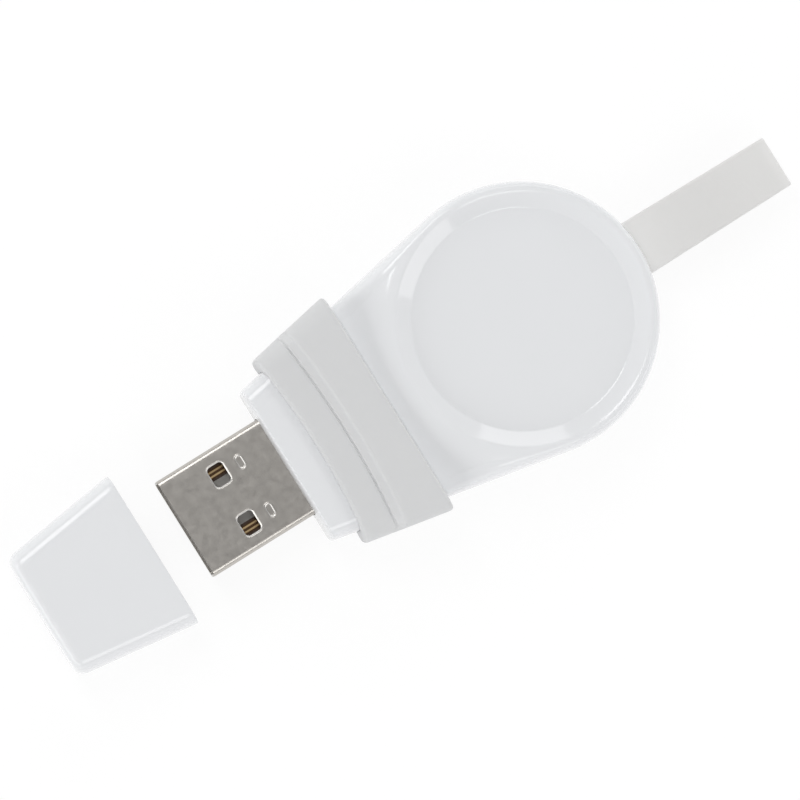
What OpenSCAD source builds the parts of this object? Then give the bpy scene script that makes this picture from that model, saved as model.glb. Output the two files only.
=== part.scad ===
// Portable smartwatch charger with a plug, a dished charging disc, a rubber sleeve, a strap loop
// and a pull-off cap. The plug points along -X and the strap along +X. The charger lies on its
// flat underside at z = 0, and the origin is below the centre of the disc.

/* [Housing] */
// Radius of the charging disc at its widest line
disc_r = 15.1; // [15:0.1:17]
// Distance from the centre of the disc to the front face of the neck
neck_l = 30; // [29.5:0.5:34]
// Width of the front face of the neck
neck_w = 18.9; // [18.4:0.1:21]
// Height of the neck
neck_h = 8.4; // [8.4:0.1:9.2]
// Height of the rim of the disc
rim_h = 10; // [9.9:0.1:12]
// Height of the line where the upper and lower housing meet
part_h = 4.2; // [4:0.1:4.4]
// Wall of the housing at its sides and front
side_wall = 1.5; // [1.4:0.1:1.8]
// Thickness of the floor of the lower housing
floor_t = 1.1; // [1:0.1:1.3]
// Thickness of the roof of the neck
roof_t = 1.2; // [1:0.1:1.3]
// How far the long edges of the neck are rounded in, seen from above
neck_edge = 2; // [1.2:0.1:2.2]
// How far the outer edge of the rim is rounded in, seen from above
rim_edge = 1; // [0.6:0.1:1.1]
// How far the edges of the underside are rounded in
foot_edge = 1.3; // [0.8:0.1:1.6]
// How far the edges of the front face are rounded in
front_edge = 0.5; // [0.3:0.1:0.8]
// Radius of the upright corners at the front of the neck
corner_r = 0.6; // [0.4:0.1:1.2]
// Height of the lip that locates the two halves of the housing
lip_h = 0.8; // [0.5:0.1:1]
// Thickness of that lip
lip_t = 0.6; // [0.4:0.1:0.7]
// Gap between parts that are pressed or glued together
fit_gap = 0.08; // [0.05:0.01:0.12]

/* [Dish] */
// Radius of the flat floor of the dish where the watch lies
dish_r = 12.1; // [11.6:0.1:12.2]
// Width of the slope from the floor of the dish up to the rim
dish_slope = 1.75; // [1.4:0.05:1.8]
// Depth of the dish below the rim
dish_depth = 1; // [0.6:0.1:1.2]
// Thickness of the housing under the dish
dish_t = 0.9; // [0.8:0.1:1.1]
// Distance from the centre of the disc at which the saddle has come down to the neck
saddle_end = 20.5; // [19.5:0.5:23]

/* [Plug] */
// Length of the plug outside the housing
plug_l = 12.8; // [12.2:0.1:13.4]
// Width of the metal shell
shell_w = 12; // [11.8:0.1:12.2]
// Height of the metal shell
shell_h = 4.5; // [4.4:0.1:4.6]
// Thickness of the sheet metal
shell_t = 0.3; // [0.25:0.05:0.35]
// Outer corner radius of the shell
shell_r = 0.6; // [0.4:0.1:0.8]
// Length of the shell inside the housing
shell_in = 5.8; // [5:0.1:6.5]
// Distance that the tongue stands back from the mouth of the shell
tongue_back = 0.4; // [0.2:0.1:0.8]
// Width of a latch window in the shell
window_w = 2.45; // [2:0.05:2.8]
// Length of a latch window along the plug
window_l = 1.9; // [1.6:0.1:2.2]
// Distance of the windows from the centre line
window_y = 3.06; // [2.8:0.02:3.4]
// Distance of the windows behind the mouth
window_back = 6.2; // [5.5:0.1:7]
// Distance of the stamped dimples behind the mouth
dimple_back = 8.9; // [8.3:0.1:9.6]
// Width of a contact
contact_w = 1; // [0.8:0.1:1.2]
// Thickness of a contact
contact_t = 0.2; // [0.15:0.05:0.3]
// Distance of the outer contacts from the centre line
contact_outer_y = 3.5; // [3.3:0.1:3.7]
// Distance of the inner contacts from the centre line
contact_inner_y = 1; // [0.9:0.05:1.2]

/* [Sleeve] */
// Distance from the centre of the disc to the back edge of the sleeve
sleeve_back = 17.1; // [16.6:0.1:18]
// Length of the tall tier along the plug
tall_l = 4.9; // [4:0.1:5.5]
// Length of the low tier along the plug
low_l = 4.8; // [3.8:0.1:5.2]
// Height that the low tier stands above the neck
low_up = 1.1; // [0.9:0.1:1.4]
// Height that the tall tier stands above the low tier
step_up = 1.2; // [0.8:0.1:1.5]
// Wall of the sleeve beside the neck
sleeve_side = 1.5; // [1.2:0.1:1.8]
// Wall of the sleeve under the neck, flush with the underside
sleeve_under = 0.9; // [0.8:0.1:1]
// Corner radius of the sleeve
sleeve_r = 2; // [1.5:0.1:2.3]
// Depth of the hollow curve of the front edge and the step
sleeve_bow = 0.6; // [0:0.1:1]

/* [Strap] */
// Width of the strap
strap_w = 6.35; // [5.5:0.05:7]
// Width of the strap at its tip
strap_tip_w = 5.6; // [5:0.1:6.35]
// Distance from the centre of the disc to the tip of the loop
strap_reach = 33.5; // [28:0.1:42]
// Thickness of one run of the strap
strap_t = 1; // [0.8:0.05:1.1]
// Height of the middle of the strap
strap_z = 3.1; // [3:0.05:3.2]
// Diameter of the pin that holds the strap
pin_d = 1.2; // [1:0.1:1.3]
// Distance from the rim of the disc to the pin
pin_inset = 3.8; // [3.5:0.1:4.2]
// Gap round the pin and between the runs and the slot
strap_gap = 0.1; // [0.05:0.01:0.15]

/* [Cap] */
// Length of the cap
cap_l = 14; // [14:0.1:16]
// Gap between the mouth of the plug and the open end of the cap that lies off
cap_off = 4.1; // [1:0.1:20]
// Width of the open end of the cap
cap_w = 18.7; // [18:0.1:20]
// Width of the closed end of the cap
cap_end_w = 14.9; // [14.6:0.1:18]
// Wall of the cap
cap_wall = 1.1; // [1:0.1:1.2]
// Thickness of the closed end
cap_end_t = 0.9; // [0.8:0.1:1]
// Edge radius of the closed end
cap_end_r = 1.1; // [0.8:0.1:1.4]
// Clearance between the plug and the ribs that grip it
cap_gap = 0.15; // [0.1:0.01:0.2]
// Thickness of the ribs in the cap
cap_rib_t = 0.9; // [0.7:0.1:1.2]

/* [Electronics] */
// Outer radius of the charging coil
coil_r = 11.9; // [11:0.1:12]
// Inner radius of the charging coil
coil_in_r = 5.6; // [5.2:0.1:6.5]
// Thickness of the charging coil
coil_t = 1; // [0.8:0.1:1.1]
// Thickness of the ferrite ring
ferrite_t = 0.7; // [0.5:0.1:0.8]
// Radius of the magnet
magnet_r = 4.7; // [4:0.1:5]
// Thickness of the magnet
magnet_t = 1.9; // [1.6:0.1:2]
// Thickness of the steel plate behind the magnet
plate_t = 0.6; // [0.4:0.1:0.7]
// Thickness of the tray that carries the coil
tray_t = 0.8; // [0.6:0.1:0.9]
// Radius of the posts under the tray
post_r = 0.9; // [0.7:0.1:1.1]
// Diameter of a coil lead
lead_d = 0.5; // [0.4:0.05:0.6]
// Thickness of the circuit board
board_t = 1; // [0.8:0.1:1.2]
// Width of the circuit board
board_w = 12; // [11:0.1:13]
// Distance from the centre of the disc to the round end of the circuit board
board_end = 6.6; // [5:0.1:7]

/* [Hidden] */
$fn = 96;
eps = 0.01;

arc_steps = 50;
side_steps = 9;
corner_steps = 4;
front_steps = 6;
edge_steps = 7;
saddle_steps = 11;
section_steps = 8;
// Exponent that makes the edges fuller than a circle
fullness = 0.65;

// Angle between each long side and the centre line
taper = asin(disc_r / norm([neck_l, neck_w / 2])) - atan(neck_w / 2 / neck_l);
crest_r = disc_r - rim_edge;
dish_floor_z = rim_h - dish_depth;
dish_roof_z = dish_floor_z - dish_t;
plug_z = part_h;
plug_front = neck_l + plug_l;
shell_back = neck_l - shell_in;
sleeve_front = sleeve_back + tall_l + low_l;
sleeve_step = sleeve_back + tall_l;
low_z = neck_h + low_up;
tall_z = low_z + step_up;
contact_top = plug_z;
board_top = contact_top - contact_t;
board_z = board_top - board_t;
coil_z = dish_roof_z - fit_gap - coil_t;
ferrite_z = coil_z - fit_gap - ferrite_t;
tray_z = ferrite_z - fit_gap - tray_t;
tray_r = disc_r - side_wall - lip_t - 4 * fit_gap;
magnet_z = dish_roof_z - fit_gap - magnet_t;
plate_z = magnet_z - plate_t;
pin_x = disc_r - pin_inset;
loop_r = pin_d / 2 + strap_gap + strap_t;
slot_h = 2 * (loop_r + strap_gap);
slot_w = strap_w + 4 * strap_gap;
cap_open = plug_front + cap_off;
cap_close = cap_open + cap_l;

function limit(v, low, high) = max(low, min(high, v));
function smooth(t) = let (s = limit(t, 0, 1)) s * s * (3 - 2 * s);
function mix(a, b, t) = a + (b - a) * t;

// Half the width of the housing at a distance x ahead of the disc centre, d inside its outline
function half_width(x, d = 0) = (disc_r - d) / cos(taper) - x * tan(taper);

// Height of the top of the housing above the point p, from the rim down the saddle to the neck
function top_z(p) = mix(rim_h, neck_h, smooth((norm(p) - crest_r) / (saddle_end - crest_r)));

// Height of the upper skin, with the dish inside the rim
function skin_z(p) = top_z(p) - dish_depth * (1 - limit((norm(p) - dish_r) / dish_slope, 0, 1));

// How far the upper edge is rounded in at a distance x ahead of the disc centre
function edge_at(x) = mix(rim_edge, neck_edge, smooth((x - disc_r * sin(taper)) / (sleeve_back - 5)));

// Arc of the disc, d inside its widest line
function outline_arc(d) = [for (i = [0 : arc_steps])
    let (a = mix(-90 - taper, 90 + taper, i / arc_steps)) (disc_r - d) * [cos(a), sin(a)]];
// Upright front corner between a side set in by d and a front set in by f
function outline_corner(d, f) = let (k = max(corner_r - (d + f) / 2, 0.1), x = neck_l - f - k,
    c = [-x, half_width(x, d + k)])
    [for (i = [0 : corner_steps]) let (a = mix(90 + taper, 180, i / corner_steps)) c + k * [cos(a), sin(a)]];
function outline_side(d, n) = let (a = (disc_r - d) * [-sin(taper), cos(taper)], b = outline_corner(d, d)[0])
    [for (i = [1 : 1 : n - 1]) mix(a, b, i / n)];
function mirrored(points) = [for (i = [len(points) - 1 : -1 : 0]) [points[i][0], -points[i][1]]];
function joined(arc, side, corner, fronts) = let (b = corner[corner_steps]) concat(arc, side, corner,
    [for (i = [1 : 1 : fronts - 1]) [b[0], mix(b[1], -b[1], i / fronts)]],
    mirrored(corner), mirrored(side));
// Outline of the housing, d inside its widest line, with points along its straight sides and front
function outline(d, sides = side_steps, fronts = front_steps) =
    joined(outline_arc(d), outline_side(d, sides), outline_corner(d, d), fronts);

outline_count = len(outline(0));
// Outline set in by a share of the edge widths: narrow on the rim and the front, wide on the long sides
side_edges = [for (p = outline_side(0, side_steps)) edge_at(-p[0])];
function edge_ring(share) = joined(outline_arc(rim_edge * share),
    [for (i = [0 : side_steps - 2]) outline_side(side_edges[i] * share, side_steps)[i]],
    outline_corner(neck_edge * share, front_edge * share), front_steps);

// Triangles that join rings with the same number of points
function ring_faces(rings, count) = [for (j = [0 : rings - 2], i = [0 : count - 1])
    let (n = (i + 1) % count) each [
        [j * count + i, (j + 1) * count + i, (j + 1) * count + n],
        [j * count + i, (j + 1) * count + n, j * count + n]]];

// Skin of rings with a flat face at each end
module skin(rings) {
    count = len(rings[0]);
    total = len(rings) * count;
    polyhedron(points = [for (r = rings) each r],
        faces = concat([[for (i = [0 : count - 1]) i]], ring_faces(len(rings), count),
            [[for (i = [1 : count]) total - i]]));
}

// Upper housing: out along the roof of the room, down its wall, round the rebate for the lip, up the
// outer side, over the edge, in over the saddle to the rim and down to the floor of the dish
edge_top = edge_ring(1);
function upper_edge_ring(u) = let (plan = edge_ring(1 - pow(cos(u), fullness)))
    [for (i = [0 : outline_count - 1])
        [plan[i][0], plan[i][1], mix(part_h, top_z(edge_top[i]), pow(sin(u), fullness))]];
function on_circle(r) = [for (p = edge_top) p * r / norm(p)];
function skin_ring(points) = [for (p = points) [p[0], p[1], skin_z(p)]];
function upper_top_ring(s) = skin_ring(mix(edge_top, on_circle(dish_r + dish_slope), s));
function roof_z(p) = min(dish_roof_z, top_z(p) - roof_t);
function roof_ring(s) = [for (p = outline(side_wall))
    let (q = mix(p * (dish_r - 1) / norm(p), p, s)) [q[0], q[1], roof_z(q)]];
function at_height(points, z) = [for (p = points) [p[0], p[1], z]];
rebate_top = part_h + lip_h + fit_gap;
rebate_d = side_wall - lip_t - fit_gap;
module upper_form() skin(concat(
    [for (s = [0, 0.2, 0.4, 0.6, 0.8, 1]) roof_ring(s)],
    [at_height(outline(side_wall), rebate_top), at_height(outline(rebate_d), rebate_top),
     at_height(outline(rebate_d), part_h)],
    [for (j = [0 : edge_steps]) upper_edge_ring(90 * j / edge_steps)],
    [for (j = [1 : saddle_steps]) upper_top_ring(j / saddle_steps)],
    [skin_ring(on_circle(dish_r))]));

// Lower housing: up round the edge of the underside to the joint, over the lip and down to the floor
function lower_flat(d, z) = at_height(outline(d, 1, 1), z);
function lower_ring(u) = lower_flat(foot_edge * (1 - pow(cos(u), fullness)),
    part_h * (1 - pow(sin(u), fullness)));
module lower_form() skin(concat(
    [for (j = [edge_steps : -1 : 0]) lower_ring(90 * j / edge_steps)],
    [lower_flat(side_wall - lip_t, part_h), lower_flat(side_wall - lip_t, part_h + lip_h),
     lower_flat(side_wall, part_h + lip_h), lower_flat(side_wall, floor_t)]));

// Box given by its lowest and highest corners
module box(a, b) translate(a) cube(b - a);

module rounded_rect(w, h, r) {
    square([w - 2 * r, h], center = true);
    square([w, h - 2 * r], center = true);
    for (x = [-1, 1], y = [-1, 1]) translate([x * (w / 2 - r), y * (h / 2 - r)]) circle(r);
}

// Bar with the section of the plug, grown by g, between two distances ahead of the disc centre
module plug_bar(far, near, g) translate([-far, 0, plug_z]) rotate([90, 0, 90])
    linear_extrude(far - near) rounded_rect(shell_w + 2 * g, shell_h + 2 * g, shell_r + g);

module strap_slot() box([pin_x - loop_r - 1, -slot_w / 2, strap_z - slot_h / 2],
    [disc_r + 1, slot_w / 2, strap_z + slot_h / 2]);

module upper_housing() color("#f2f3f4") difference() {
    upper_form();
    plug_bar(neck_l + 1, shell_back - 1, fit_gap);
    strap_slot();
}

// Raised floor in the neck, over the recess for the sleeve
neck_floor_z = plug_z - shell_h / 2 - fit_gap;
neck_floor_end = sleeve_back - 0.8;
module neck_floor() {
    d = side_wall - 0.3;
    translate([0, 0, floor_t - 0.1]) linear_extrude(neck_floor_z - floor_t + 0.1) polygon([
        [-neck_l + d, -half_width(neck_l - d, d)], [-neck_floor_end, -half_width(neck_floor_end, d)],
        [-neck_floor_end, half_width(neck_floor_end, d)], [-neck_l + d, half_width(neck_l - d, d)]]);
}

// Places on the board: the inductor and the capacitors follow the plug, the control chip the round end
board_front = shell_back - 0.1;
inductor_x = 5.1 - board_front;
capacitor_x = inductor_x + 4.5;
control_x = board_end - 8.6;
bridge_x = (capacitor_x + control_x) / 2;

// Posts that carry the tray and the board
tray_posts = [for (a = [55, 125, 235, 305]) (tray_r - 1.6) * [cos(a), sin(a)]];
board_posts = [for (x = [inductor_x, control_x + 4.5], y = [-3.8, 3.8]) [x, y]];
module post(p, top) translate([p[0], p[1], floor_t - 0.2]) cylinder(r = post_r, h = top - floor_t + 0.2);

// Ear with a bore for the pin of the strap
ear_t = 1.2;
ear_r = pin_d / 2 + 0.8;
module ear(side) translate([pin_x, side * (slot_w / 2 + ear_t / 2 + strap_gap), 0]) difference() {
    union() {
        translate([0, 0, strap_z]) rotate([90, 0, 0]) cylinder(r = ear_r, h = ear_t, center = true);
        translate([-ear_r, -ear_t / 2, floor_t - 0.2]) cube([2 * ear_r, ear_t, strap_z - floor_t + 0.2]);
    }
    translate([0, 0, strap_z]) rotate([90, 0, 0])
        cylinder(r = pin_d / 2 + fit_gap / 2, h = ear_t + 1, center = true);
}

module lower_housing() color("#eeeff0") difference() {
    union() {
        lower_form();
        neck_floor();
        for (p = tray_posts) post(p, tray_z - fit_gap);
        for (p = board_posts) post(p, board_z);
        for (side = [-1, 1]) ear(side);
    }
    plug_bar(neck_l + 1, shell_back - 1, fit_gap);
    strap_slot();
    // Recess on the underside for the sleeve
    box([-sleeve_front - fit_gap, -disc_r - 1, -1], [-sleeve_back + fit_gap, disc_r + 1, sleeve_under]);
}

// Half of a side of a rounded section: from the widest point at z_mid to the edge at z_end
function section_side(w, z_mid, z_end, edge) = [for (j = [0 : section_steps])
    let (u = 90 * j / section_steps)
        [w - edge * (1 - pow(cos(u), fullness)), mix(z_mid, z_end, pow(sin(u), fullness))]];
function flipped(points) = [for (i = [len(points) - 1 : -1 : 0]) [-points[i][0], points[i][1]]];
function turned(points) = [for (i = [len(points) - 1 : -1 : 1]) points[i]];

// Sections of the sleeve run from its upper right corner round to its lower right corner: the outside
// is a rectangle with round corners, d inside its full size, and the hole follows the neck
function arc_points(c, r, a0, a1) = [for (i = [0 : corner_steps]) let (a = mix(a0, a1, i / corner_steps))
    c + r * [cos(a), sin(a)]];
function across(a, b, z) = [for (j = [1 : section_steps - 1]) [mix(a, b, j / section_steps), z]];
function round_section(w, top, r, d) = concat(
    arc_points([w - r, top - r], r - d, 0, 90),
    across(w - r, r - w, top - d),
    arc_points([r - w, top - r], r - d, 90, 180),
    arc_points([r - w, r], r - d, 180, 270),
    across(r - w, w - r, d),
    arc_points([w - r, r], r - d, -90, 0));
sleeve_gap = 2 * fit_gap;
function neck_side(x) = let (w = half_width(x) + sleeve_gap, edge = edge_at(x))
    [for (j = [0 : corner_steps]) let (u = 90 * j / corner_steps, y = w - edge * (1 - pow(cos(u), fullness)))
        [y, mix(part_h, top_z([x, y]) + sleeve_gap, pow(sin(u), fullness))]];
function neck_section(x) = let (side = neck_side(x), w = side[0][0], top = side[corner_steps][0], r = 0.3)
    concat(side,
        [for (p = across(top, -top, 0)) [p[0], top_z([x, p[0]]) + sleeve_gap]],
        flipped(side),
        arc_points([r - w, sleeve_under - fit_gap + r], r, 180, 270),
        across(r - w, w - r, sleeve_under - fit_gap),
        arc_points([w - r, sleeve_under - fit_gap + r], r, -90, 0));

// Ring of the sleeve at x: the bow carries its middle back along the neck
function bowed(x, section, bow) = [for (p = section)
    [-x + sleeve_bow * bow * (1 - pow(p[0] / half_width(x), 2)), p[0], p[1]]];
function sleeve_ring(x, top, d, bow) =
    bowed(x, round_section(half_width(x) + sleeve_side, top, sleeve_r, d), bow);
function placed(x, section) = bowed(x, section, 0);

// Skin of rings that closes on itself, like a tube
module tube_skin(rings) {
    count = len(rings[0]);
    total = len(rings) * count;
    polyhedron(points = [for (r = rings) each r],
        faces = [for (f = ring_faces(len(rings) + 1, count)) [for (v = f) v % total]]);
}
rounding = [0, 30, 60, 90];
sleeve_edge = 0.5;
step_foot = 0.15;
step_draft = 0.55;
step_face = sleeve_step + sleeve_edge;
sleeve_hole_steps = 9;
module sleeve() color("#cdcecd") tube_skin(concat(
    [for (u = rounding)
        sleeve_ring(sleeve_front - sleeve_edge * (1 - cos(u)), low_z, sleeve_edge * (1 - sin(u)), 1)],
    [for (u = [90, 60, 30, 0])
        sleeve_ring(step_face + step_draft + step_foot * (1 - cos(u)), low_z + step_foot * (1 - sin(u)),
            0, 1)],
    [for (u = rounding)
        sleeve_ring(step_face - sleeve_edge * (1 - cos(u)), tall_z - sleeve_edge * (1 - sin(u)), 0, 1)],
    [for (u = [90, 60, 30, 0])
        sleeve_ring(sleeve_back + sleeve_edge * (1 - cos(u)), tall_z, sleeve_edge * (1 - sin(u)), 0)],
    [for (i = [0 : sleeve_hole_steps]) let (t = i / sleeve_hole_steps, x = mix(sleeve_back, sleeve_front, t))
        bowed(x, neck_section(x), t)]));

// Section of the cap, d inside its outer size
function cap_section(w, d) = let (
    upper = section_side(w - d, part_h, neck_h - d, neck_edge),
    lower = section_side(w - d, part_h, d, foot_edge))
    concat(turned(lower), upper, flipped(upper), [for (i = [1 : section_steps])
        [-lower[i][0], lower[i][1]]]);
function cap_half(x) = mix(cap_w, cap_end_w, (x - cap_open) / cap_l) / 2;
module cap_form() skin(concat(
    [for (u = rounding) let (x = cap_close - cap_end_r * (1 - cos(u)))
        placed(x, cap_section(cap_half(x), cap_end_r * (1 - sin(u))))],
    [placed(cap_open, cap_section(cap_half(cap_open), 0))]));
cap_room = cap_close - cap_end_t;
cap_grip_w = shell_w / 2 + cap_gap;
cap_grip_h = shell_h / 2 + cap_gap;
module cap_rib(y, side) {
    z0 = side > 0 ? plug_z + cap_grip_h : cap_wall - eps;
    z1 = side > 0 ? neck_h - cap_wall + eps : plug_z - cap_grip_h;
    box([-cap_room, y - cap_rib_t / 2, z0], [-(cap_open + 1.5), y + cap_rib_t / 2, z1]);
}
module cap() color("#f2f3f4") {
    difference() {
        cap_form();
        translate([0, 0, cap_wall]) linear_extrude(neck_h - 2 * cap_wall) polygon([
            [-cap_room, -cap_half(cap_room) + cap_wall], [-cap_room, cap_half(cap_room) - cap_wall],
            [-cap_open + 1, cap_half(cap_open - 1) - cap_wall],
            [-cap_open + 1, -cap_half(cap_open - 1) + cap_wall]]);
    }
    for (i = [-1 : 1], side = [-1, 1]) cap_rib(i * shell_w / 3, side);
    intersection() {
        union() for (side = [-1, 1]) translate([-cap_room, side * (cap_grip_w + 1.5) - 1.5, plug_z - cap_rib_t / 2])
            cube([cap_l - 3, 3, cap_rib_t]);
        linear_extrude(neck_h) polygon([[-cap_close, -cap_half(cap_close) + cap_wall / 2],
            [-cap_close, cap_half(cap_close) - cap_wall / 2], [-cap_open, cap_half(cap_open) - cap_wall / 2],
            [-cap_open, -cap_half(cap_open) + cap_wall / 2]]);
    }
}

// Closed loop of soft strap: two runs, a fold round the pin and a fold at the tip
module loop_outline(r) {
    translate([pin_x, 0]) circle(r);
    translate([strap_reach - loop_r, 0]) circle(r);
    translate([pin_x, -r]) square([strap_reach - loop_r - pin_x, 2 * r]);
}
strap_narrowing = strap_reach - disc_r;
module strap_loop() color("#d6d6d5") intersection() {
    translate([0, 0, strap_z]) rotate([90, 0, 0]) linear_extrude(strap_w, center = true)
        difference() {
            loop_outline(loop_r);
            loop_outline(loop_r - strap_t);
        }
    linear_extrude(neck_h) polygon([[0, -strap_w / 2], [strap_reach - strap_narrowing, -strap_w / 2],
        [strap_reach, -strap_tip_w / 2], [strap_reach, strap_tip_w / 2],
        [strap_reach - strap_narrowing, strap_w / 2], [0, strap_w / 2]]);
}
pin_l = slot_w + 2 * (ear_t + strap_gap);
module strap_pin() color("#a8a8a6") translate([pin_x, 0, strap_z]) rotate([90, 0, 0])
    cylinder(r = pin_d / 2, h = pin_l, center = true);

// Window through the top and the bottom of the shell
module window(y) translate([-(plug_front - window_back), y, plug_z]) linear_extrude(shell_h + 1, center = true)
    rounded_rect(window_l, window_w, 0.35);
dimple_w = 1.8;
dimple_l = 1;
dimple_t = 0.12;
module dimple(y, side) translate([-(plug_front - dimple_back), y, plug_z + side * (shell_h / 2 - dimple_t / 2)])
    linear_extrude(dimple_t + eps, center = true) rounded_rect(dimple_l, dimple_w, 0.48);

// Folded seam along the underside of the shell, with one dovetail
seam = 0.06;
seam_path = [[-1, 0], [4.6, 0], [4.2, 1.3], [6.4, 1.3], [6, 0], [plug_l + shell_in + 1, 0]];
module seam_run(a, b) translate(a) rotate(atan2(b[1] - a[1], b[0] - a[0]))
    translate([-seam / 2, -seam / 2]) square([norm(b - a) + seam, seam]);
module usb_shell() color("#a9a6a0") difference() {
    plug_bar(plug_front, shell_back, 0);
    plug_bar(plug_front + 1, shell_back - 1, -shell_t);
    for (y = [-window_y, window_y]) window(y);
    for (y = [-window_y, window_y], side = [-1, 1]) dimple(y, side);
    translate([-plug_front, 0, plug_z - shell_h / 2 - 1]) linear_extrude(1 + shell_t + eps)
        for (i = [0 : len(seam_path) - 2]) seam_run(seam_path[i], seam_path[i + 1]);
}

contact_ys = [-contact_outer_y, -contact_inner_y, contact_inner_y, contact_outer_y];
contact_front = plug_front - tongue_back - 0.7;
contact_tail = shell_back - 2;
contact_side_gap = 0.03;
tongue_gap = 0.02;
block_l = shell_in + 0.6;
module usb_tongue() color("#8d8c89") difference() {
    plug_bar(plug_front - tongue_back, shell_back, -shell_t - tongue_gap);
    // Room over the tongue for the socket's own tongue
    box([-plug_front, -shell_w / 2, contact_top], [-(shell_back + block_l), shell_w / 2, plug_z + shell_h]);
    for (y = contact_ys) box(
        [-contact_front - contact_side_gap, y - contact_w / 2 - contact_side_gap, board_top],
        [-shell_back + 1, y + contact_w / 2 + contact_side_gap, contact_top + eps]);
}
module contact(i) color("#c9a24a") box([-contact_front, contact_ys[i] - contact_w / 2, board_top],
    [-contact_tail, contact_ys[i] + contact_w / 2, contact_top]);
module usb_contact_1() contact(0);
module usb_contact_2() contact(1);
module usb_contact_3() contact(2);
module usb_contact_4() contact(3);

module circuit_board() color("#2f6b3c") translate([0, 0, board_z]) linear_extrude(board_t) difference() {
    union() {
        translate([-board_front, -board_w / 2]) square([board_front + board_end - board_w / 2, board_w]);
        translate([board_end - board_w / 2, 0]) circle(board_w / 2);
    }
    for (side = [-1, 1]) translate([inductor_x, side * board_w / 2]) circle(0.8);
}

// Flat chip with a row of solder pads on each side
pad_w = 0.3;
module chip(p, size, height, pads) translate([p[0], p[1], board_top]) {
    translate([-size / 2, -size / 2, 0.1]) cube([size, size, height - 0.1]);
    for (turn = [0 : 90 : 270], i = [0 : pads - 1]) rotate(turn)
        translate([size / 2 - 0.5, (i - (pads - 1) / 2) * (size - 0.8) / (pads - 1) - pad_w / 2, 0])
            cube([0.6, pad_w, 0.25]);
}
module control_chip() color("#222325") chip([control_x, 0], 5, 0.9, 6);
module bridge_chip() color("#26272a") chip([bridge_x, 0], 4, 0.8, 5);
inductor_w = 4;
module power_inductor() color("#5b5b5e") translate([inductor_x, 0, board_top]) {
    translate([-inductor_w / 2, -inductor_w / 2, 0]) cube([inductor_w, inductor_w, 0.5]);
    cylinder(r = 0.4 * inductor_w, h = 1.6);
    translate([0, 0, 1.3]) cylinder(r = inductor_w / 2, h = 0.5);
}
capacitor_pitch = 2.6;
module capacitor(i) translate([capacitor_x, (i - 1.5) * capacitor_pitch, board_top]) {
    color("#b89b6a") translate([-0.7, -0.6, 0.05]) cube([1.4, 1.2, 0.85]);
    color("#c8c8c8") for (side = [-1, 1]) translate([side * 0.85 - 0.25, -0.63, 0]) cube([0.5, 1.26, 0.95]);
}
module capacitor_1() capacitor(0);
module capacitor_2() capacitor(1);
module capacitor_3() capacitor(2);
module capacitor_4() capacitor(3);

module ring(outer, inner, z, h) translate([0, 0, z]) difference() {
    cylinder(r = outer, h = h);
    translate([0, 0, -1]) cylinder(r = inner, h = h + 2);
}
module charging_coil() color("#b8703c") ring(coil_r, coil_in_r, coil_z, coil_t);
module ferrite_ring() color("#3a3a3c") ring(coil_r, magnet_r + 0.3, ferrite_z, ferrite_t);
module magnet() color("#9c9c9c") translate([0, 0, magnet_z]) cylinder(r = magnet_r, h = magnet_t);
module magnet_plate() color("#7d7e80") translate([0, 0, plate_z]) cylinder(r = magnet_r, h = plate_t);

// Tray with a rim round the coil, a hole for the magnet and a notch for the coil leads
lead_notch = 2 * (capacitor_pitch + 0.9);
module coil_tray() color("#e6e6e4") difference() {
    translate([0, 0, tray_z]) cylinder(r = tray_r, h = coil_z + coil_t / 2 - tray_z);
    translate([0, 0, tray_z + tray_t]) cylinder(r = coil_r + 2 * fit_gap, h = 5);
    translate([0, 0, tray_z - 1]) cylinder(r = magnet_r + fit_gap, h = 5);
    box([-disc_r, -lead_notch / 2, tray_z - 1], [-(coil_r - 0.4), lead_notch / 2, coil_z + 5]);
}

// Lead from the edge of the coil down to the board, between two capacitors
lead_x = coil_r + 0.45;
lead_z = coil_z + coil_t / 2;
lead_end = sqrt(pow(coil_r, 2) - pow(capacitor_pitch - lead_d / 2, 2)) + 0.02;
module coil_lead(y) color("#c07a45") translate([-lead_x, y, 0]) {
    translate([0, 0, board_top]) cylinder(r = lead_d / 2, h = lead_z - board_top, $fn = 24);
    translate([0, 0, lead_z]) sphere(r = lead_d / 2, $fn = 24);
    translate([0, 0, lead_z]) rotate([0, 90, 0])
        cylinder(r = lead_d / 2, h = lead_x - lead_end, $fn = 24);
}
module coil_lead_1() coil_lead(-capacitor_pitch);
module coil_lead_2() coil_lead(capacitor_pitch);

upper_housing();
lower_housing();
sleeve();
cap();
strap_loop();
strap_pin();
usb_shell();
usb_tongue();
usb_contact_1();
usb_contact_2();
usb_contact_3();
usb_contact_4();
circuit_board();
control_chip();
bridge_chip();
power_inductor();
capacitor_1();
capacitor_2();
capacitor_3();
capacitor_4();
charging_coil();
coil_lead_1();
coil_lead_2();
ferrite_ring();
coil_tray();
magnet();
magnet_plate();
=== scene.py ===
import math

import bmesh
import bpy
import numpy as np
from mathutils import Matrix


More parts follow.
